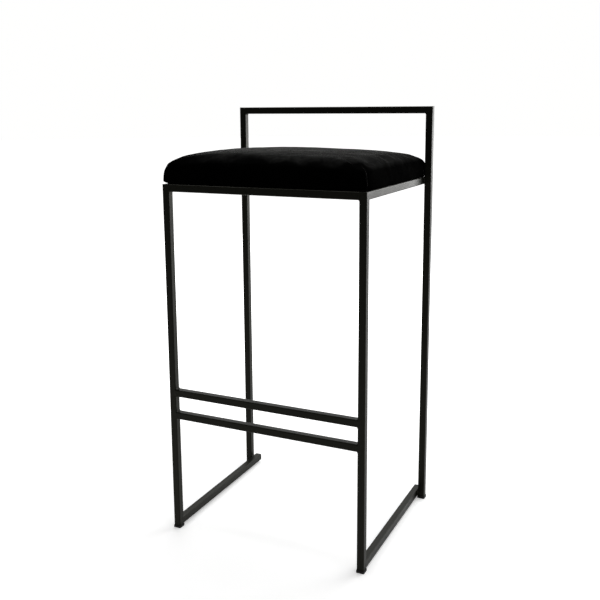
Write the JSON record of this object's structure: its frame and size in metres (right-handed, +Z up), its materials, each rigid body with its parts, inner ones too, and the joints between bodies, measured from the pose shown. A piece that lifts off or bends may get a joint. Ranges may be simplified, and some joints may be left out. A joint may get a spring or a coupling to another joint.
{
  "type": "bar stool",
  "caption": "Tall bar stool: slim welded square-tube frame on floor runners, low back bar, parallel footrest bars across the front and a padded velvet seat.",
  "frame": {"origin": "on the floor under the middle of the stool's bounding box, at the underside of the foot glides", "axes": "+Z up along the legs, -Y towards the front where the footrest bars are, +X to the sitter's left when seated facing -Y"},
  "size_m": [0.4686, 0.372, 0.89],
  "materials": {
    "powder_coat": "satin",
    "velvet": "matte",
    "foam": "matte",
    "plywood": "matte",
    "lining": "matte",
    "black_plastic": "matte",
    "zinc": "satin"
  },
  "bodies": {
    "root": {"back_bar": "powder_coat", "dust_cover": "lining", "end_cap_runner_left": "black_plastic", "end_cap_runner_right": "black_plastic", "end_cap_seat_rail_left": "black_plastic", "end_cap_seat_rail_right": "black_plastic", "floor_runner_left": "powder_coat", "floor_runner_right": "powder_coat", "foot_glide_front_left": "black_plastic", "foot_glide_front_right": "black_plastic", "foot_glide_rear_left": "black_plastic", "foot_glide_rear_right": "black_plastic", "footrest_bar_lower": "powder_coat", "footrest_bar_upper": "powder_coat", "front_leg_left": "powder_coat", "front_leg_right": "powder_coat", "rear_post_left": "powder_coat", "rear_post_right": "powder_coat", "seat_board": "plywood", "seat_cover": "velvet", "seat_foam": "foam", "seat_rail_front": "powder_coat", "seat_rail_left": "powder_coat", "seat_rail_rear": "powder_coat", "seat_rail_right": "powder_coat", "seat_screw_front_left": "zinc", "seat_screw_front_right": "zinc", "seat_screw_rear_left": "zinc", "seat_screw_rear_right": "zinc", "seat_tab_front_left": "powder_coat", "seat_tab_front_right": "powder_coat", "seat_tab_rear_left": "powder_coat", "seat_tab_rear_right": "powder_coat", "t_nut_front_left": "zinc", "t_nut_front_right": "zinc", "t_nut_rear_left": "zinc", "t_nut_rear_right": "zinc"}
  },
  "joints": []
}
